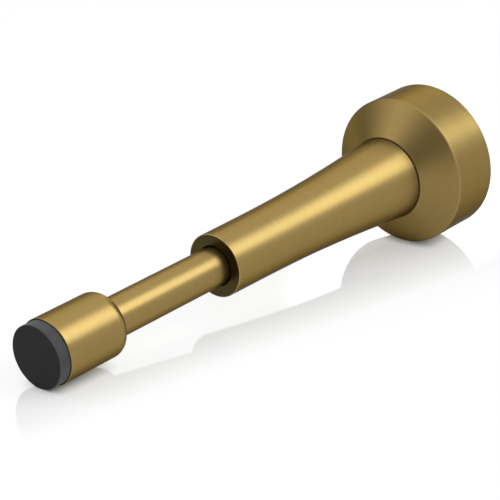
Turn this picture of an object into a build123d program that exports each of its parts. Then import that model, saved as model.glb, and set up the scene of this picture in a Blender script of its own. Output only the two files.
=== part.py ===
from build123d import *
import math
import os

# Spring door stop, fixed to a wall or a skirting board. Sizes are in millimetres.
# The wall is the plane Y = 0 and the stop stands out from it along -Y, with +Z up.
# Every station along the stop is a distance from the wall.

# Base, the turned rose whose back rim bears on the wall
base_side_length = 9.0
base_cone_length = 3.8
base_edge_round = 0.5
base_back_edge = 0.1
base_rim_width = 2.0
base_relief_width = 2.8
base_relief_depth = 0.4

# Barrel, the flared tube that holds the spring and guides the rod
flare_length = 22.4
neck_length = 21.5
neck_taper = 0.13
flare_blend_radius = 350.0
seat_width = 0.94
seat_groove = 0.2
barrel_wall = 1.23
spigot_wall = 1.3
spigot_end_gap = 0.4
guide_length = 7.0
mouth_edge_round = 0.12
mouth_chamfer = 0.15

# Plunger rod, which stands out of the mouth by its travel and by what then stays out
rod_radius = 3.26
plunger_travel = 14.0
rod_left_out = 10.1
collar_step = 0.74
collar_length = 3.0
stem_end_chamfer = 0.4

# Head and rubber bumper, with a web between the stud's hole and the bumper's socket
head_web = 1.8
head_back_round = 1.84
head_front_edge = 0.12
stud_radius = 2.0
stud_length = 5.0
stud_end_chamfer = 0.4
stud_hole_extra = 0.6
bumper_inset = 0.22
bumper_thickness = 2.05
bumper_edge_round = 0.12
bumper_stem_radius = 2.5
bumper_stem_length = 4.6
bumper_bead_radius = 0.5
bead_from_stem_end = 1.4
socket_end_gap = 0.4

# End plug, screwed into the tail of the barrel to clamp the base
plug_flange_width = 3.0
plug_flange_length = 2.5
plug_shank_length = 9.0
plug_shank_chamfer = 0.5
plug_thread_step = 0.9
plug_pilot_length = 1.5
plug_recess = 0.5
plug_end_wall = 2.0
fixing_hole_radius = 2.5
fixing_hole_chamfer = 0.6
spanner_hole_radius = 0.9
spanner_hole_depth = 1.5
thread_runout = 0.5

# Spring
wire_diameter = 0.8
active_pitch = 2.7
closed_coil_gap = 0.04
closed_turns = 1.0
opening_turns = 0.5
points_per_turn = 12

# Clearances, all radial
guide_clearance = 0.05
collar_clearance = 0.1
spring_bore_clearance = 0.2
spring_stem_clearance = 0.3
thread_clearance = 0.05
spigot_clearance = 0.05
flange_clearance = 0.2
socket_clearance = 0.05

# Radii from the rod outwards
guide_radius = rod_radius + guide_clearance
collar_radius = rod_radius + collar_step
spring_bore_radius = collar_radius + collar_clearance
spring_outer_radius = spring_bore_radius - spring_bore_clearance
coil_radius = spring_outer_radius - wire_diameter / 2
stem_radius = coil_radius - wire_diameter / 2 - spring_stem_clearance
mouth_radius = spring_bore_radius + barrel_wall
head_radius = mouth_radius
bumper_radius = head_radius - bumper_inset
plug_shank_radius = spring_bore_radius + plug_thread_step
spigot_radius = plug_shank_radius + spigot_wall
seat_radius = spigot_radius + seat_width
plug_flange_radius = plug_shank_radius + plug_flange_width
flange_bore_radius = plug_flange_radius + flange_clearance
base_relief_radius = flange_bore_radius + base_relief_width
base_radius = base_relief_radius + base_rim_width
socket_radius = bumper_stem_radius + socket_clearance
spanner_pitch_radius = (fixing_hole_radius + fixing_hole_chamfer + plug_flange_radius) / 2

# Stations from the wall outwards
flange_seat = plug_recess + plug_flange_length
spigot_end = flange_seat + spigot_end_gap
plug_front = flange_seat + plug_shank_length
pilot_front = plug_front + plug_pilot_length
thread_end = plug_front + thread_runout
base_front = base_side_length + base_cone_length
neck_start = base_front + flare_length
mouth = neck_start + neck_length
guide_start = mouth - guide_length
collar_back = guide_start - collar_length
stem_end = pilot_front + plunger_travel
head_back = mouth + plunger_travel + rod_left_out
stud_end = head_back + stud_length
stud_hole_end = stud_end + stud_hole_extra
socket_end = stud_hole_end + head_web
bumper_stem_end = socket_end + socket_end_gap
bead_centre = bumper_stem_end + bead_from_stem_end
head_front = bumper_stem_end + bumper_stem_length
bumper_front = head_front + bumper_thickness

# Sections are drawn with X as the distance from the wall and Y as the radius.
stop_axis = Axis((0, 0, 0), (0, -1, 0))
section_plane = Plane(origin=(0, 0, 0), x_dir=(0, -1, 0), z_dir=(-1, 0, 0))


def corner(section, station, radius):
    """The corner of a section nearest to this distance from the wall and this radius."""
    return section.vertices().sort_by_distance((station, radius))[0]


# Base. The bore takes the barrel's spigot, and the counterbore behind it the plug's flange.
spigot_bore_radius = spigot_radius + spigot_clearance
with BuildPart() as base:
    with BuildSketch(section_plane) as base_section:
        with BuildLine():
            Polyline(
                (0, base_relief_radius),
                (0, base_radius),
                (base_side_length, base_radius),
                (base_front, seat_radius),
                (base_front, spigot_bore_radius),
                (flange_seat, spigot_bore_radius),
                (flange_seat, flange_bore_radius),
                (base_relief_depth, flange_bore_radius),
                (base_relief_depth, base_relief_radius),
                close=True,
            )
        make_face()
        fillet(corner(base_section, base_side_length, base_radius), radius=base_edge_round)
        fillet(corner(base_section, 0, base_radius), radius=base_back_edge)
    revolve(axis=stop_axis)
base.part.label = "base"


# Barrel. Two straight tapers meet at neck_start, and a long round blends them.
bend_radius = mouth_radius + neck_taper
flare_angle = math.atan2(seat_radius - bend_radius, flare_length)
neck_angle = math.atan2(neck_taper, neck_length)
blend_turn = math.tan((flare_angle - neck_angle) / 2)
longest_blend = 0.9 * min(flare_length, neck_length) / blend_turn
thread_bore_radius = plug_shank_radius + thread_clearance
with BuildPart() as barrel:
    with BuildSketch(section_plane) as barrel_section:
        with BuildLine():
            outside = FilletPolyline(
                (base_front, seat_radius),
                (neck_start, bend_radius),
                (mouth, mouth_radius),
                radius=min(flare_blend_radius, longest_blend),
            )
            Polyline(
                outside @ 1,
                (mouth, guide_radius),
                (guide_start, guide_radius),
                (guide_start, spring_bore_radius),
                (thread_end, spring_bore_radius),
                (thread_end, thread_bore_radius),
                (spigot_end, thread_bore_radius),
                (spigot_end, spigot_radius),
                (base_front, spigot_radius),
                outside @ 0,
            )
        make_face()
        fillet(corner(barrel_section, mouth, mouth_radius), radius=mouth_edge_round)
        chamfer(corner(barrel_section, mouth, guide_radius), length=mouth_chamfer)
        chamfer(corner(barrel_section, base_front, seat_radius), length=seat_groove)
    revolve(axis=stop_axis)
barrel.part.label = "barrel"


# End plug. Its blind hole takes the fixing screw, and its front holds the spring.
with BuildPart() as end_plug:
    with BuildSketch(section_plane) as plug_section:
        with BuildLine():
            Polyline(
                (plug_recess, 0),
                (plug_recess, plug_flange_radius),
                (flange_seat, plug_flange_radius),
                (flange_seat, plug_shank_radius),
                (plug_front, plug_shank_radius),
                (plug_front, stem_radius),
                (pilot_front, stem_radius),
                (pilot_front, 0),
                close=True,
            )
        make_face()
        chamfer(corner(plug_section, plug_front, plug_shank_radius), length=plug_shank_chamfer)
    revolve(axis=stop_axis)
    plug_back = Plane(origin=(0, -plug_recess, 0), x_dir=(1, 0, 0), z_dir=(0, 1, 0))
    with Locations(plug_back):
        Hole(radius=fixing_hole_radius, depth=plug_front - plug_recess - plug_end_wall)
        with PolarLocations(spanner_pitch_radius, 2):
            Hole(radius=spanner_hole_radius, depth=spanner_hole_depth)
    back_rims = end_plug.edges().filter_by(GeomType.CIRCLE).group_by(Axis.Y)[-1]
    hole_rim = back_rims.filter_by(lambda rim: math.isclose(rim.radius, fixing_hole_radius))
    chamfer(hole_rim, length=fixing_hole_chamfer)
end_plug.part.label = "end_plug"


# Spring, with closed ends ground flat on the plug and on the rod's collar. Its pitch opens
# smoothly from the closed pitch of the end turns to the active pitch between them.
spring_length = collar_back - plug_front
closed_pitch = wire_diameter + closed_coil_gap
active_turns = round((spring_length - 2 * closed_turns * closed_pitch) / active_pitch)
all_turns = active_turns + 2 * closed_turns
opening_pitch = (spring_length - all_turns * closed_pitch) / active_turns


def pitch_at(turn):
    """The pitch of the coil at this turn, counted from the plug."""
    turns_from_end = min(turn, all_turns - turn)
    opened = 0.5 + (turns_from_end - closed_turns) / opening_turns
    return closed_pitch + opening_pitch * min(max(opened, 0), 1)


wire_points = []
wire_station = plug_front
for step in range(round(all_turns * points_per_turn) + 1):
    turn = step / points_per_turn
    angle = 2 * math.pi * turn
    wire_points.append(
        (coil_radius * math.cos(angle), -wire_station, coil_radius * math.sin(angle))
    )
    wire_station += pitch_at(turn + 0.5 / points_per_turn) / points_per_turn
with BuildPart() as spring:
    with BuildLine() as wire_line:
        Spline(*wire_points)
    with BuildSketch(Plane(origin=wire_line.line @ 0, z_dir=wire_line.line % 0)):
        Circle(wire_diameter / 2)
    sweep(path=wire_line.line, is_frenet=True)
    split(bisect_by=Plane(origin=(0, -plug_front, 0), z_dir=(0, -1, 0)))
    split(bisect_by=Plane(origin=(0, -collar_back, 0), z_dir=(0, 1, 0)))
spring.part.label = "spring"


# Plunger rod. The collar stops on the guide's shoulder, and the stem behind it keeps
# the spring straight and meets the plug's pilot at the end of the travel.
with BuildPart() as plunger_rod:
    with BuildSketch(section_plane) as rod_section:
        with BuildLine():
            Polyline(
                (stem_end, 0),
                (stem_end, stem_radius),
                (collar_back, stem_radius),
                (collar_back, collar_radius),
                (guide_start, collar_radius),
                (guide_start, rod_radius),
                (head_back, rod_radius),
                (head_back, stud_radius),
                (stud_end, stud_radius),
                (stud_end, 0),
                close=True,
            )
        make_face()
        chamfer(corner(rod_section, stem_end, stem_radius), length=stem_end_chamfer)
        chamfer(corner(rod_section, stud_end, stud_radius), length=stud_end_chamfer)
    revolve(axis=stop_axis)
plunger_rod.part.label = "plunger_rod"


# Head. It screws onto the rod's stud, and its front socket holds the bumper by a bead.
groove_radius = bumper_bead_radius + socket_clearance
with BuildPart() as head:
    with BuildSketch(section_plane) as head_section:
        with BuildLine():
            Polyline(
                (head_back, stud_radius + thread_clearance),
                (head_back, head_radius),
                (head_front, head_radius),
                (head_front, 0),
                (stud_hole_end, 0),
                (stud_hole_end, stud_radius + thread_clearance),
                close=True,
            )
        make_face()
        fillet(corner(head_section, head_back, head_radius), radius=head_back_round)
        chamfer(corner(head_section, head_front, head_radius), length=head_front_edge)
        with Locations(((socket_end + head_front) / 2, socket_radius / 2)):
            Rectangle(head_front - socket_end, socket_radius, mode=Mode.SUBTRACT)
        with Locations((bead_centre, socket_radius)):
            Circle(groove_radius, mode=Mode.SUBTRACT)
    revolve(axis=stop_axis)
head.part.label = "head"


# Bumper, moulded in one piece with its stem and bead.
with BuildPart() as bumper:
    with BuildSketch(section_plane) as bumper_section:
        with BuildLine():
            Polyline(
                (bumper_stem_end, 0),
                (bumper_stem_end, bumper_stem_radius),
                (head_front, bumper_stem_radius),
                (head_front, bumper_radius),
                (bumper_front, bumper_radius),
                (bumper_front, 0),
                close=True,
            )
        make_face()
        fillet(corner(bumper_section, bumper_front, bumper_radius), radius=bumper_edge_round)
        with Locations((bead_centre, bumper_stem_radius)):
            Circle(bumper_bead_radius)
    revolve(axis=stop_axis)
bumper.part.label = "bumper"


os.makedirs("parts", exist_ok=True)
for piece in (base, barrel, end_plug, spring, plunger_rod, head, bumper):
    export_step(piece.part, f"parts/{piece.part.label}.step")
    print(f"{piece.part.label}: {piece.part.volume:.1f} mm3")
print(f"stands out {bumper_front:.2f} mm, spring {spring_length:.1f} mm with {all_turns:.0f} turns")
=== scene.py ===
# %% [markdown]
# # A sprung door stop
#
# The stop is turned from brass bar: a round base, a flared barrel, a rod that slides in the
# barrel against a spring, and a head with a black rubber bumper. The solids come from the CAD
# model, already in place and on their bodies, so this lesson only adds what CAD leaves out: the
# finishes, the wound spring, the cut thread, the light and the camera.

# %% Load the frame
import math

import bmesh
import bpy
from mathutils import Matrix, Vector


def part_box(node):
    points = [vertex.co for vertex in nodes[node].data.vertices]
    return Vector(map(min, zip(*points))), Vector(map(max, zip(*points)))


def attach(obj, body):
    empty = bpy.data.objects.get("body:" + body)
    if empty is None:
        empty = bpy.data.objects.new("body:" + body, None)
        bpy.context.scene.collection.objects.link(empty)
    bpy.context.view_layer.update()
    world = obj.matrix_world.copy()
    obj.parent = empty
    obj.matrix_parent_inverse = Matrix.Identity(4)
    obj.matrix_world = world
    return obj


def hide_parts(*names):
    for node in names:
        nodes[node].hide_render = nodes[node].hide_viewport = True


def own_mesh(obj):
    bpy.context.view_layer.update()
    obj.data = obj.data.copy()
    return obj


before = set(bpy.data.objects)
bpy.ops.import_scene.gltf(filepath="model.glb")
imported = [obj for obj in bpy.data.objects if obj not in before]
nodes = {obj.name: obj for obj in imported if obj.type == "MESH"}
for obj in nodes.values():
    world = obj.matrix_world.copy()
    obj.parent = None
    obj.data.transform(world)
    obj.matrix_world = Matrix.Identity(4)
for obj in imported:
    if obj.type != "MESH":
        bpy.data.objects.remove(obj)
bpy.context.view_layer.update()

print("pieces from the CAD model:", ", ".join(sorted(nodes)))

# %% [markdown]
# ## Where the studio is
#
# The model's own frame has the wall plane upright and the stop's axis level. In the picture the
# stop lies on a table instead, on the edge of its base and the rim of its head, so its nose dips
# a little. CAD pieces are never moved, so the studio is tilted round them: everything in it is
# placed in studio directions (right, away, up) and one matrix turns those into model directions.

# %% Turn the studio
MM = 0.001
BASE_RADIUS = 13.0 * MM
BASE_EDGE_AT = 8.73 * MM
HEAD_RADIUS = 5.33 * MM
HEAD_RIM_AT = 93.08 * MM
STOP_TURN = math.radians(41.61)
nose_dip = math.atan((BASE_RADIUS - HEAD_RADIUS) / (HEAD_RIM_AT - BASE_EDGE_AT))

to_wall = Vector(
    (
        math.cos(nose_dip) * math.sin(STOP_TURN),
        math.cos(nose_dip) * math.cos(STOP_TURN),
        math.sin(nose_dip),
    )
)
to_side = Vector((math.cos(STOP_TURN), -math.sin(STOP_TURN), 0.0))
to_top = to_side.cross(to_wall)
studio = Matrix((to_side, to_wall, to_top))
table_up = studio @ Vector((0, 0, 1))
print(f"the nose dips {math.degrees(nose_dip):.2f} degrees")

# %% Find the height of the table
lowest = min(
    table_up.dot(corner.co) for node in nodes.values() for corner in node.data.vertices
)
table_point = table_up * lowest
print(f"the table is {-lowest / MM:.2f} mm below the middle of the base")

# %% [markdown]
# ## Camera
#
# For so small a thing the camera stood well back, with a long lens, and looked down by twenty
# degrees. A long lens keeps the two ends of the stop close to the same scale, and that is what
# makes the barrel look straight rather than steeply tapering. The camera is placed by where the
# middle of the base's back sits in its view: a little right of the centre, a little above it, and
# 359 mm away.

# %% Set up the camera
CAMERA_DROP = math.radians(20.07)
SENSOR = 36.0
LENS = 146.54
NEAREST, FARTHEST = 0.01, 20.0
BASE_IN_VIEW = Vector((31.908, 16.795, -359.469)) * MM

look_right = studio @ Vector((1, 0, 0))
look_up = studio @ Vector((0, math.sin(CAMERA_DROP), math.cos(CAMERA_DROP)))
look_back = studio @ Vector((0, -math.cos(CAMERA_DROP), math.sin(CAMERA_DROP)))
view_turn = Matrix((look_right, look_up, look_back)).transposed()

camera_data = bpy.data.cameras.new("camera")
camera_data.sensor_width = SENSOR
camera_data.lens = LENS
camera_data.clip_start = NEAREST
camera_data.clip_end = FARTHEST
camera = bpy.data.objects.new("camera", camera_data)
bpy.context.scene.collection.objects.link(camera)
camera.matrix_world = Matrix.Translation(-(view_turn @ BASE_IN_VIEW)) @ view_turn.to_4x4()
bpy.context.scene.camera = camera
bpy.context.scene.view_settings.view_transform = "Standard"
print("camera stands at", [round(c / MM, 1) for c in camera.location], "mm")

# %% [markdown]
# ## Helpers for nodes
#
# The room, the table and every finish are small networks of nodes. A few short calls are enough to
# write them down: one for each kind of sum that this lesson uses. Each takes numbers or the results
# of other calls, so a network reads like a sum on paper.

# %% Write the node helpers
def calls_of(helper):
    """The names of a helper's calls."""
    return ", ".join(name for name in vars(helper) if not name.startswith("_"))


class Network:
    """Short calls that add nodes to one network."""

    def __init__(self, tree):
        self.tree = tree

    def node(self, kind, **settings):
        made = self.tree.nodes.new(kind)
        for key, value in settings.items():
            setattr(made, key, value)
        return made

    def feed(self, socket, source):
        """Sets a socket to a number or colour, or links it to another socket."""
        if isinstance(source, bpy.types.NodeSocket):
            self.tree.links.new(source, socket)
        else:
            socket.default_value = source

    def fed(self, kind, inputs, result=0, **settings):
        """A node with these inputs, and its result."""
        made = self.node(kind, **settings)
        for key, source in inputs.items():
            self.feed(made.inputs[key], source)
        return made.outputs[result]

    def sum(self, operation, *values):
        return self.fed("ShaderNodeMath", dict(enumerate(values)), operation=operation)

    def product(self, first, *others):
        for other in others:
            first = self.sum("MULTIPLY", first, other)
        return first

    def measure(self, operation, first, second):
        """One number from two vectors, such as their distance."""
        vectors = {0: first, 1: second}
        return self.fed("ShaderNodeVectorMath", vectors, "Value", operation=operation)

    def between(self, value, low, high, start=0.0, end=1.0, curve="LINEAR"):
        """Stretches a value from start..end to low..high, and stops it there."""
        inputs = {"Value": value, "From Min": start, "From Max": end, "To Min": low, "To Max": high}
        return self.fed("ShaderNodeMapRange", inputs, "Result", interpolation_type=curve)

    def cover(self, share, under, over):
        """Lays one shader over another by this share."""
        return self.fed("ShaderNodeMixShader", {0: share, 1: under, 2: over})

    def seen_in_picture(self):
        """One for rays that the viewer sees: straight, mirrored or through glass."""
        ways = self.node("ShaderNodeLightPath").outputs
        mirrored = self.sum("MAXIMUM", ways["Is Camera Ray"], ways["Is Glossy Ray"])
        return self.sum("MAXIMUM", mirrored, ways["Is Transmission Ray"])


print("calls for any network:", calls_of(Network))

# %% [markdown]
# ## Light
#
# Metal shows what stands round it, so its light is mostly a white room: the world is white to the
# camera and in reflections, and dimmer as a light, so that shadows keep some depth. One broad lamp
# from behind on the left lights the table. Weaker ones behind lift the top of the base and the
# barrel, and two further round lift the cone and the stop's sides. A softbox on the right makes the
# long bright band along the turned pieces. Together they give a level surface a little over one, at
# which a colour looks about as it is written.
#
# In a room that is white all round, brass looks like paint. A photographer hangs dark cards just
# out of the picture, and the dark shapes that they leave in the metal are what make it look like
# metal. Here each card is a soft dark spot in the room, given by its direction and by how wide it
# looks. The camera never looks at a card, so in straight sight the room is plain white. The room
# can tell those rays apart only if it isn't aimed at like a lamp, so its sampling is off.

# %% Hang the white room
WHITE = (1, 1, 1, 1)
ROOM_LIGHT = 0.60
DARK_CARDS = (
    # where, studio direction, degrees out to its soft edge, degrees of full dark, depth
    ("front left", (-0.40, -0.88, 0.24), 34.0, 6.0, 0.78),
    ("left", (-0.80, 0.58, 0.02), 36.0, 8.0, 0.70),
    ("back right", (0.56, 0.66, 0.50), 25.0, 7.0, 0.80),
)

world = bpy.data.worlds.new("white_room")
world.use_nodes = True
world.node_tree.nodes.clear()
world.cycles.sampling_method = "NONE"
bpy.context.scene.world = world
room = Network(world.node_tree)

outlook = room.fed("ShaderNodeTexCoord", {}, "Generated")
brightness = 1.0
for card, direction, reach, core, depth in DARK_CARDS:
    facing = room.measure("DOT_PRODUCT", outlook, (studio @ Vector(direction)).normalized())
    edge, middle = math.cos(math.radians(reach)), math.cos(math.radians(core))
    spot = room.between(facing, 1.0, 1.0 - depth, edge, middle, "SMOOTHSTEP")
    brightness = room.product(brightness, spot)

straight = room.node("ShaderNodeLightPath").outputs["Is Camera Ray"]
lit = {"Color": WHITE, "Strength": room.product(brightness, ROOM_LIGHT)}
seen = {"Color": WHITE, "Strength": room.sum("MAXIMUM", brightness, straight)}
walls = room.cover(
    room.seen_in_picture(),
    room.fed("ShaderNodeBackground", lit),
    room.fed("ShaderNodeBackground", seen),
)
room.feed(room.node("ShaderNodeOutputWorld").inputs["Surface"], walls)
print("dark cards:", ", ".join(card[0] for card in DARK_CARDS))

# %% Hang the far lamps
SUN_AWAY = 1.0
SUNS = (
    # name, studio direction, share of white that it gives, degrees across
    ("table_lamp", (-0.50, 0.45, 0.74), 0.26, 60.0),
    ("back_dome", (0.05, 0.62, 0.78), 0.11, 62.0),
    ("low_back", (0.23, 0.91, 0.36), 0.075, 24.0),
    ("front_left_fill", (-0.80, -0.20, 0.56), 0.055, 30.0),
    ("front_right_fill", (0.49, -0.52, 0.70), 0.045, 26.0),
)
middle_of_stop = Vector((0, -45.0, 0)) * MM


def hang(lamp_data, direction, distance):
    """Hangs a lamp in this studio direction from the stop's middle, facing it."""
    lamp = bpy.data.objects.new(lamp_data.name, lamp_data)
    bpy.context.scene.collection.objects.link(lamp)
    outward = (studio @ Vector(direction)).normalized()
    lamp.location = middle_of_stop + outward * distance
    lamp.rotation_mode = "QUATERNION"
    lamp.rotation_quaternion = outward.to_track_quat("Z", "Y")
    return lamp


suns = {}
for name, direction, level, spread in SUNS:
    sun = bpy.data.lights.new(name, "SUN")
    sun.energy = level * math.pi
    sun.angle = math.radians(spread)
    suns[name] = hang(sun, direction, SUN_AWAY)
suns["table_lamp"].visible_glossy = False
print("far lamps:", ", ".join(suns))

# %% Hang the softbox
SOFTBOX_AWAY = 1.5
SOFTBOX_DIRECTION = (0.722, 0.035, 0.691)
SOFTBOX_WIDTH, SOFTBOX_HEIGHT = 0.81, 0.92
SOFTBOX_BRIGHTNESS = 3.4
COOL_WHITE = (0.925, 1.0, 0.99)

panel = bpy.data.lights.new("band_softbox", "AREA")
panel.color = COOL_WHITE
panel.shape = "RECTANGLE"
panel.size = SOFTBOX_WIDTH
panel.size_y = SOFTBOX_HEIGHT
panel.energy = SOFTBOX_BRIGHTNESS * math.pi * SOFTBOX_WIDTH * SOFTBOX_HEIGHT
hang(panel, SOFTBOX_DIRECTION, SOFTBOX_AWAY).visible_camera = False
print(f"softbox {SOFTBOX_WIDTH} by {SOFTBOX_HEIGHT} m, {SOFTBOX_BRIGHTNESS} times white")

# %% [markdown]
# ## Helpers for finishes
#
# Every finish is worked out from where a point is on its piece: how far along the stop's axis and
# how far out from it. A lathe leaves its marks in just those two numbers, so one helper that gives
# them serves all the turned pieces, and no picture has to be wrapped round anything. The angle
# round the axis is let in only slightly, so that the rings wander a little, as real ones do.

# %% Write the finish helpers
class Finish(Network):
    """A material, with the calls that only finishes need."""

    def __init__(self, name):
        self.material = bpy.data.materials.new(name)
        self.material.use_nodes = True
        super().__init__(self.material.node_tree)
        self.shader = self.tree.nodes["Principled BSDF"]
        self.place = self.fed("ShaderNodeTexCoord", {}, "Object")

    def set(self, **sockets):
        """Feeds the main shader. An underscore stands for a space in a socket's name."""
        for key, source in sockets.items():
            self.feed(self.shader.inputs[key.replace("_", " ")], source)

    def vector(self, x, y, z):
        return self.fed("ShaderNodeCombineXYZ", {0: x, 1: y, 2: z})

    def noise(self, where, scale, detail=2.0, roughness=0.5):
        inputs = {"Vector": where, "Scale": scale, "Detail": detail, "Roughness": roughness}
        return self.fed("ShaderNodeTexNoise", inputs, "Fac")

    def blend(self, share, first, second):
        """Two colours mixed, with this share of the second."""
        inputs = {"Factor": share, "A": first, "B": second}
        return self.fed("ShaderNodeMix", inputs, "Result", data_type="RGBA")

    def relief(self, height, depth, strength, under=None):
        """Fine unevenness of this depth, on top of the relief under it."""
        inputs = {"Height": height, "Distance": depth, "Strength": strength}
        if under is not None:
            inputs["Normal"] = under
        return self.fed("ShaderNodeBump", inputs, "Normal")

    def turned(self):
        """Distance out from the axis and along it, and the angle round it."""
        parts = self.node("ShaderNodeSeparateXYZ")
        self.feed(parts.inputs[0], self.place)
        x, y, z = parts.outputs
        return self.length(x, z), y, self.sum("ARCTAN2", z, x)

    def length(self, one_way, other_way):
        """How far a point is, that is this far one way and this far square to it."""
        squares = self.product(one_way, one_way), self.product(other_way, other_way)
        return self.sum("SQRT", self.sum("ADD", *squares))

    def near_ring(self, out_from_axis, along, station, radius, reach):
        """One on a ring at this distance from the wall, and nought further off than the reach."""
        aside = self.sum("SUBTRACT", out_from_axis, radius)
        ahead = self.sum("ADD", along, station)
        return self.between(self.length(aside, ahead), 0.0, 1.0, reach, 0.0, "SMOOTHSTEP")


print("calls for finishes:", calls_of(Finish))

# %% [markdown]
# ## Table
#
# A white table with a faint polish. The picture's ground is clean white, so a part of the table's
# brightness is plain white to the viewer, in straight sight and in the metal. The rest is lit
# paint, which keeps a pale shadow. Where the stop all but touches the table, an occlusion term
# takes the plain white away too, which paints a contact shadow over the lit paint's own. Further
# out the table fades to plain white, like a sweep of paper, so no far edge shows.
# The sheet has one side only, so that a look from below its edge still shows the stop.
#
# The polish mirrors the stop weakly, strongest by the heavy base, and loses it within a finger's
# width on either side.

# %% Lay the table
TABLE_HALF = 1.5
table_mesh = bpy.data.meshes.new("table")
table_corners = [
    table_point + studio @ (Vector((x, y, 0)) * TABLE_HALF)
    for x, y in ((-1, -1), (1, -1), (1, 1), (-1, 1))
]
table_mesh.from_pydata(table_corners, [], [(0, 1, 2, 3)])
table = bpy.data.objects.new("table", table_mesh)
bpy.context.scene.collection.objects.link(table)
print("table laid", TABLE_HALF * 2, "m wide")

# %% Work out the table's plain white
TABLE_GLOW = 0.72
GLOW_RISES = (60 * MM, 200 * MM)
CONTACT = 1.8 * MM
CONTACT_SAMPLES = 8

paint = Finish("table_paint")
paint.tree.nodes.remove(paint.shader)
from_stop = paint.measure("DISTANCE", paint.place, middle_of_stop)
glow_here = paint.between(from_stop, TABLE_GLOW, 1.0, *GLOW_RISES, "SMOOTHSTEP")
# The occlusion term takes the plain white away where the stop nearly touches: a painted contact
# shadow.
openness = paint.fed(
    "ShaderNodeAmbientOcclusion", {"Distance": CONTACT}, "AO", samples=CONTACT_SAMPLES
)
glow_share = paint.product(paint.seen_in_picture(), glow_here, openness)
print(f"plain white from {TABLE_GLOW:.0%} by the stop to 100% at {GLOW_RISES[1] / MM:.0f} mm")

# %% Work out the table's shine
POLISH_IOR = 2.1
POLISH_MOST = 0.24
SHINE_AT_HEAD, SHINE_AT_BASE = 1.0, 1.6
SHINE_WIDTH_AT_HEAD, SHINE_WIDTH_AT_BASE = 13 * MM, 19 * MM

along = paint.turned()[1]
sideways = table_up.cross(Vector((0, 1, 0))).normalized()
aside = paint.sum("ABSOLUTE", paint.measure("DOT_PRODUCT", paint.place, sideways))
stations = (-HEAD_RIM_AT, -BASE_EDGE_AT)
shine_width = paint.between(along, SHINE_WIDTH_AT_HEAD, SHINE_WIDTH_AT_BASE, *stations)
near_stop = paint.sum("SUBTRACT", 1.0, paint.sum("DIVIDE", aside, shine_width))
mirror = paint.sum("MINIMUM", paint.fed("ShaderNodeFresnel", {"IOR": POLISH_IOR}), POLISH_MOST)
shine = paint.product(
    mirror,
    paint.sum("MAXIMUM", near_stop, 0.0),
    paint.between(along, SHINE_AT_HEAD, SHINE_AT_BASE, *stations),
    paint.between(from_stop, 1.0, 0.0, *GLOW_RISES, "SMOOTHSTEP"),
)
print(f"the polish mirrors {POLISH_MOST * SHINE_AT_HEAD:.0%} at most by the head,", end=" ")
print(f"{POLISH_MOST * SHINE_AT_BASE:.0%} by the base")

# %% Paint the table
TABLE_COLOUR = (0.96, 0.96, 0.96, 1)
POLISH_ROUGHNESS = 0.07

matt = paint.fed("ShaderNodeBsdfDiffuse", {"Color": TABLE_COLOUR})
glow = paint.fed("ShaderNodeEmission", {})
polish = paint.fed("ShaderNodeBsdfGlossy", {"Roughness": POLISH_ROUGHNESS})
ground = paint.cover(shine, paint.cover(glow_share, matt, glow), polish)
from_below = paint.fed("ShaderNodeNewGeometry", {}, "Backfacing")
one_sided = paint.cover(from_below, ground, paint.fed("ShaderNodeBsdfTransparent", {}))
paint.feed(paint.tree.nodes["Material Output"].inputs["Surface"], one_sided)
table_mesh.materials.append(paint.material)
print("table painted")

# %% [markdown]
# ## Satin brass
#
# The real pieces are turned, brushed on the lathe and lacquered. That gives brass a soft sheen: one
# broad band of light, no sharp mirror images, and a darker tone where the surface turns away. The
# brush leaves rings from one to a few hairs wide, so in the picture they show as a slight
# unevenness rather than as lines. A full metal shader carries the colour, and its edge tint gives
# the dark outline.
#
# Three marks are painted into the colour on top of that sheen. The barrel's narrow flat mouth ring
# is
# painted dark brown: a painted dark reflection, for the dark that this flat face mirrors. Every
# joint gets a thin dark line, painted crevice shade together with the dirt that sits there. And the
# rims of the base, the mouth and the head get a thin lighter ring, a painted highlight. The base,
# turned from a bigger bar with a coarser cut, is a touch rougher than the slim pieces, and its
# colour is a touch darker as painted shade.

# %% Lay the brush marks on the brass
SMALL_TURN = 0.00002
# how many to a metre
FINE_RINGS, BROAD_RINGS, BRUSH_MARKS, TARNISH_PATCHES = 14000.0, 1600.0, 4500.0, 160.0

brass = Finish("satin_brass_turned")
out_from_axis, along, round_axis = brass.turned()
ring_place = brass.vector(out_from_axis, along, brass.product(round_axis, SMALL_TURN))
fine_rings = brass.noise(ring_place, FINE_RINGS, detail=3.0, roughness=0.6)
broad_rings = brass.noise(ring_place, BROAD_RINGS)
brushed = brass.noise(ring_place, BRUSH_MARKS, detail=3.0, roughness=0.7)
tarnish = brass.noise(brass.place, TARNISH_PATCHES, detail=4.0, roughness=0.6)
print(f"the marks run round the pieces, {1 / BRUSH_MARKS / MM:.2f} mm wide")

# %% Mark the joints, the mouth and the rims, with painted shade and painted highlights
# The joints get thin dark rings: painted crevice shade together with the dirt that sits there.
JOINTS = (
    # distance from the wall, distance out from the axis, reach, share
    (12.85 * MM, 7.22 * MM, 0.29 * MM, 1.0),
    (56.6 * MM, 3.33 * MM, 0.22 * MM, 1.0),
    (80.8 * MM, 3.26 * MM, 0.36 * MM, 1.0),
    (93.2 * MM, 5.15 * MM, 0.22 * MM, 1.0),
)
# Thin lighter rings on the rims of the base, the mouth and the head: a painted highlight.
PAINTED_EDGE_HIGHLIGHTS = (
    (8.85 * MM, 12.92 * MM, 0.50 * MM, 0.3),
    (56.64 * MM, 5.30 * MM, 0.18 * MM, 1.0),
    (93.12 * MM, 5.31 * MM, 0.15 * MM, 0.7),
)
# The mouth face is painted dark: a painted dark reflection, for the dark that this flat face
# mirrors.
MOUTH_AT, MOUTH_THICK = 56.7 * MM, 0.06 * MM
MOUTH_MIDDLE, MOUTH_REACH = 4.27 * MM, 0.94 * MM
BASE_FRONT_AT = 12.8 * MM


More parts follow.
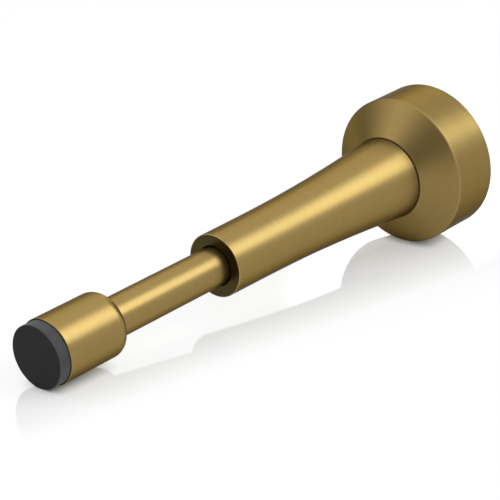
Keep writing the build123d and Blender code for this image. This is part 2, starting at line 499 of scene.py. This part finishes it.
def rings_of(places):
    """One on any of these rings round the stop."""
    together = 0.0
    for station, radius, reach, share in places:
        ring = brass.near_ring(out_from_axis, along, station, radius, reach)
        together = brass.sum("MAXIMUM", together, brass.product(ring, share))
    return together


# Thin dark rings at the joints: painted crevice shade and dirt.
joint_shade_and_dirt = rings_of(JOINTS)
# The rims' painted highlight.
painted_edge_highlights = rings_of(PAINTED_EDGE_HIGHLIGHTS)
mouth_face = brass.product(
    brass.sum("COMPARE", along, -MOUTH_AT, MOUTH_THICK),
    brass.sum("COMPARE", out_from_axis, MOUTH_MIDDLE, MOUTH_REACH),
)
on_base = brass.sum("GREATER_THAN", along, -BASE_FRONT_AT)
print(len(JOINTS), "joint lines and", len(PAINTED_EDGE_HIGHLIGHTS), "rubbed corners")

# %% Mix the brass
BRASS_LOW = (0.190, 0.132, 0.047, 1)
BRASS_HIGH = (0.366, 0.256, 0.091, 1)
BRASS_WARM = (0.298, 0.203, 0.070, 1)
# The colour of the rims' painted highlight.
BRASS_PAINTED_HIGHLIGHT = (0.380, 0.275, 0.108, 1)
# A painted dark, used for the mouth face's painted reflection and for the base's painted shade.
BRASS_PAINTED_DARK = (0.066, 0.052, 0.020, 1)
BRASS_EDGE = (0.25, 0.275, 0.33, 1)
# The colour of the joint rings: painted crevice shade and dirt.
JOINT_SHADE_AND_DIRT = (0.020, 0.014, 0.008, 1)
# How far the base's colour is darkened: painted shade.
BASE_PAINTED_SHADE = 0.10

clean = brass.blend(tarnish, brass.blend(brushed, BRASS_LOW, BRASS_HIGH), BRASS_WARM)
# The base's colour darkened a little: painted shade.
shaded_base_colour = brass.blend(brass.product(on_base, BASE_PAINTED_SHADE), clean, BRASS_PAINTED_DARK)
# The rims lightened: a painted highlight.
highlighted = brass.blend(painted_edge_highlights, shaded_base_colour, BRASS_PAINTED_HIGHLIGHT)
# The mouth face darkened: a painted dark reflection.
mouth_painted_dark = brass.blend(mouth_face, highlighted, BRASS_PAINTED_DARK)
brass.set(
    Base_Color=brass.blend(joint_shade_and_dirt, mouth_painted_dark, JOINT_SHADE_AND_DIRT),
    Metallic=1.0,
    Specular_Tint=BRASS_EDGE,
)
print("brass mixed from", BRASS_LOW[:3], "to", BRASS_HIGH[:3])

# %% Brush the brass
BRASS_ROUGHNESS = 0.33
RING_UNEVEN, HAZE_UNEVEN = 0.04, 0.03
BASE_COARSER = 0.04
FINE_DEPTH, BROAD_DEPTH = 0.004 * MM, 0.006 * MM
FINE_STRENGTH, BROAD_STRENGTH = 0.5, 0.3

ring_roughness = brass.between(
    fine_rings, BRASS_ROUGHNESS - RING_UNEVEN, BRASS_ROUGHNESS + RING_UNEVEN
)
haze = brass.between(tarnish, -HAZE_UNEVEN, HAZE_UNEVEN)
coarser_base = brass.product(on_base, BASE_COARSER)
fine_relief = brass.relief(fine_rings, FINE_DEPTH, FINE_STRENGTH)
brass.set(
    Roughness=brass.sum("ADD", brass.sum("ADD", ring_roughness, haze), coarser_base),
    Normal=brass.relief(broad_rings, BROAD_DEPTH, BROAD_STRENGTH, fine_relief),
)

BRASS_PIECES = ("base", "barrel", "plunger_rod", "head")
for name in BRASS_PIECES:
    nodes[name].material_slots[0].material = brass.material
print("brass on", ", ".join(BRASS_PIECES))

# %% [markdown]
# ## Black rubber
#
# The bumper is moulded in a dense black rubber with a matt skin. Rubber isn't pure black: it is a
# very dark grey with a weak, wide sheen, and the mould's skin has a fine orange-peel grain. Its
# side is painted a lighter grey than its face: painted light, for the light from above that the
# side catches.

# %% Mix the rubber
FACE_RADIUS = 5.02 * MM
FACE_BLACKS = (0.008, 0.008, 0.0085, 1), (0.012, 0.012, 0.0125, 1)
# The side's greys are painted lighter than the face's: painted light.
SIDE_LIT_GREYS = (0.040, 0.040, 0.041, 1), (0.082, 0.081, 0.083, 1)
RUBBER_ROUGHNESS = 0.56, 0.66
RUBBER_SHEEN = 0.19
SKIN_GRAIN, BLOOM_PATCHES = 9000.0, 500.0
SKIN_DEPTH = 0.012 * MM

rubber = Finish("moulded_rubber")
# The side is painted lighter than the face: painted light.
lit_side = rubber.sum("GREATER_THAN", rubber.turned()[0], FACE_RADIUS)
skin = rubber.noise(rubber.place, SKIN_GRAIN, detail=3.0, roughness=0.6)
bloom = rubber.noise(rubber.place, BLOOM_PATCHES, detail=3.0)
face_black = rubber.blend(bloom, *FACE_BLACKS)
side_lit_grey = rubber.blend(bloom, *SIDE_LIT_GREYS)
rubber.set(
    Base_Color=rubber.blend(lit_side, face_black, side_lit_grey),
    Roughness=rubber.between(bloom, *RUBBER_ROUGHNESS),
    Specular_IOR_Level=RUBBER_SHEEN,
    Normal=rubber.relief(skin, SKIN_DEPTH, strength=0.3),
)
nodes["bumper"].material_slots[0].material = rubber.material
print("rubber on the bumper")

# %% [markdown]
# ## Plated steel
#
# The plug inside the base is steel with a bright zinc plating over tool marks. Its face was cut on
# the lathe with a coarser feed than the brass, so its rings are wide enough to see.

# %% Mix the plated steel
ZINC_GREYS = (0.36, 0.37, 0.385, 1), (0.45, 0.45, 0.45, 1)
ZINC_ROUGHNESS = 0.26, 0.42
CUT_RINGS, SPANGLE_PATCHES = 7000.0, 900.0
CUT_DEPTH = 0.010 * MM

steel = Finish("zinc_plated_steel")
out_from_axis, along, round_axis = steel.turned()
cut_place = steel.vector(out_from_axis, along, steel.product(round_axis, 2 * SMALL_TURN))
cut_rings = steel.noise(cut_place, CUT_RINGS)
spangle = steel.noise(steel.place, SPANGLE_PATCHES, detail=3.0, roughness=0.6)
steel.set(
    Base_Color=steel.blend(spangle, *ZINC_GREYS),
    Metallic=1.0,
    Roughness=steel.between(cut_rings, *ZINC_ROUGHNESS),
    Normal=steel.relief(cut_rings, CUT_DEPTH, strength=0.5),
)
print("plated steel mixed from", ZINC_GREYS[0][:3], "to", ZINC_GREYS[1][:3])

# %% [markdown]
# ## The plug's cut thread
#
# The hidden fixing bolt screws into the plug. CAD keeps the hole plain, at the thread's core, so
# the thread is cut here: the plug's mesh is copied, the wall of its hole is taken out, and a finer
# wall is put in whose radius rises and falls once for each millimetre along the hole and moves on
# by one pitch for each turn, right-handed as on any common bolt. Both ends fade back to the plain
# hole, as a tap's tapered lead does.

# %% Open the plug's hole
THREAD_CORE = 2.5 * MM
HAIR = 0.01 * MM
SAME_PLACE = 0.001 * MM
ACROSS_THE_HOLE = 0.5

plug_mesh = nodes["end_plug"].data.copy()
plug_mesh.name = "end_plug_threaded"
plug = bpy.data.objects.new("end_plug_threaded", plug_mesh)
bpy.context.scene.collection.objects.link(plug)

shape = bmesh.new()
shape.from_mesh(plug_mesh)
bmesh.ops.remove_doubles(shape, verts=shape.verts, dist=SAME_PLACE)
on_wall = [abs(math.hypot(v.co.x, v.co.z) - THREAD_CORE) < HAIR for v in shape.verts]
shape.verts.index_update()
wall_faces = [
    f
    for f in shape.faces
    if all(on_wall[v.index] for v in f.verts) and abs(f.normal.y) < ACROSS_THE_HOLE
]
mouths = sorted({round(v.co.y, 6) for f in wall_faces for v in f.verts})
hole_start, hole_end = -mouths[-1], -mouths[0]
rim = {
    "start": [v for v in shape.verts if on_wall[v.index] and abs(v.co.y + hole_start) < HAIR],
    "end": [v for v in shape.verts if on_wall[v.index] and abs(v.co.y + hole_end) < HAIR],
}
bmesh.ops.delete(shape, geom=wall_faces, context="FACES")
corners_in_rims = [len(corners) for corners in rim.values()]
print(f"hole from {hole_start / MM:.1f} to {hole_end / MM:.1f} mm, corners:", corners_in_rims)

# %% Put in the threaded wall
THREAD_DEPTH = 0.5 * MM
THREAD_PITCH = 1.0 * MM
THREAD_LEAD = 0.3 * MM
THREAD_FADE = 1.2 * MM
FLANK_STEEPER = 1.25
ROWS_PER_PITCH = 12


def angle_of(corner):
    return math.atan2(corner.co.z, corner.co.x)


def thread_radius(angle, along, start, end):
    """The hole's radius at this angle and distance along: a flat-bottomed V that climbs round."""
    phase = (along / THREAD_PITCH - angle / (2 * math.pi)) % 1.0
    groove = min(1.0, FLANK_STEEPER * (1.0 - abs(2.0 * phase - 1.0)))
    fade = min(1.0, (along - start) / THREAD_LEAD, (end - along) / THREAD_FADE)
    return THREAD_CORE + THREAD_DEPTH * groove * max(0.0, fade)


start_ring = sorted(rim["start"], key=angle_of)
end_ring = sorted(rim["end"], key=angle_of)
row_count = round((hole_end - hole_start) / THREAD_PITCH * ROWS_PER_PITCH)
rows = [start_ring]
for row in range(1, row_count):
    station = hole_start + (hole_end - hole_start) * row / row_count
    ring = []
    for angle in map(angle_of, start_ring):
        radius = thread_radius(angle, station, hole_start, hole_end)
        point = (radius * math.cos(angle), -station, radius * math.sin(angle))
        ring.append(shape.verts.new(point))
    rows.append(ring)
rows.append(end_ring)
count = len(start_ring)
for lower, upper in zip(rows, rows[1:]):
    for k in range(count):
        j = (k + 1) % count
        shape.faces.new((lower[k], lower[j], upper[j], upper[k])).smooth = True
bmesh.ops.recalc_face_normals(shape, faces=shape.faces)
shape.to_mesh(plug_mesh)
shape.free()
plug_mesh.materials.clear()
plug_mesh.materials.append(steel.material)
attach(plug, "housing")
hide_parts("end_plug")
print(f"thread cut in {row_count} rows, plug has {len(plug_mesh.polygons)} faces")

# %% [markdown]
# ## Spring
#
# The spring is wound from drawn wire, closed at both ends and ground flat there, so that it sits
# square on the plug and on the rod's collar. It is swept here along its coil, ring by ring, and the
# grinding is made by stopping every point at the end planes. It has to shorten as the rod goes in.

# %% Draw the wire
WIRE_GREYS = (0.30, 0.30, 0.32, 1), (0.44, 0.43, 0.42, 1)
WIRE_ROUGHNESS = 0.28, 0.44
DRAWN_PATCHES = 2500.0
DRAWN_DEPTH = 0.005 * MM

wire = Finish("drawn_wire")
drawn = wire.noise(wire.place, DRAWN_PATCHES, detail=3.0, roughness=0.6)
wire.set(
    Base_Color=wire.blend(drawn, *WIRE_GREYS),
    Metallic=1.0,
    Roughness=wire.between(drawn, *WIRE_ROUGHNESS),
    Normal=wire.relief(drawn, DRAWN_DEPTH, strength=0.3),
)
print("wire drawn, from", WIRE_GREYS[0][:3], "to", WIRE_GREYS[1][:3])

# %% Lay out the coil's line
WIRE = 0.8 * MM
CLOSED_PITCH = 0.84 * MM
TURNS = 14
CLOSED_TURNS = 1.0
OPENING_TURNS = 0.5
STEPS_PER_TURN = 60

coil_low, coil_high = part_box("spring")
coil_radius = coil_high.x - WIRE / 2
spring_back, spring_front = -coil_high.y, -coil_low.y
spring_length = spring_front - spring_back
open_pitch = (spring_length - TURNS * CLOSED_PITCH) / (TURNS - 2 * CLOSED_TURNS)


def pitch_at(turn):
    """The coil's pitch here, counted in turns from the plug."""
    from_end = min(turn, TURNS - turn)
    opened = 0.5 + (from_end - CLOSED_TURNS) / OPENING_TURNS
    return CLOSED_PITCH + open_pitch * min(max(opened, 0.0), 1.0)


wire_line = []
station = spring_back
for step in range(TURNS * STEPS_PER_TURN + 1):
    angle = 2 * math.pi * step / STEPS_PER_TURN
    wire_line.append((angle, station))
    station += pitch_at((step + 0.5) / STEPS_PER_TURN) / STEPS_PER_TURN
print(f"{TURNS} turns, {(CLOSED_PITCH + open_pitch) / MM:.2f} mm apart in the middle")

# %% Sweep the wire along it
WIRE_SIDES = 16
SAME_CORNER = 0.0005 * MM

coil = bmesh.new()
loops = []
for angle, station in wire_line:
    outward = Vector((math.cos(angle), 0, math.sin(angle)))
    loop = []
    for side_step in range(WIRE_SIDES):
        turn = 2 * math.pi * side_step / WIRE_SIDES
        reach = coil_radius + WIRE / 2 * math.cos(turn)
        at = min(max(station + WIRE / 2 * math.sin(turn), spring_back), spring_front)
        loop.append(coil.verts.new(outward * reach + Vector((0, -at, 0))))
    loops.append(loop)
for first, second in zip(loops, loops[1:]):
    for k in range(WIRE_SIDES):
        j = (k + 1) % WIRE_SIDES
        coil.faces.new((first[k], first[j], second[j], second[k])).smooth = True
coil.faces.new(loops[0])
coil.faces.new(loops[-1])
bmesh.ops.remove_doubles(coil, verts=coil.verts, dist=SAME_CORNER)
bmesh.ops.recalc_face_normals(coil, faces=coil.faces)
spring_mesh = bpy.data.meshes.new("spring_wound")
coil.to_mesh(spring_mesh)
coil.free()
print(f"spring {spring_length / MM:.1f} mm long, {len(spring_mesh.polygons)} faces")

spring = bpy.data.objects.new("spring_wound", spring_mesh)
bpy.context.scene.collection.objects.link(spring)
spring_mesh.materials.append(wire.material)
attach(spring, "housing")
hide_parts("spring")
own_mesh(spring)

# %% [markdown]
# ## Size
#
# The finished model keeps the CAD model's size, since no piece is scaled.
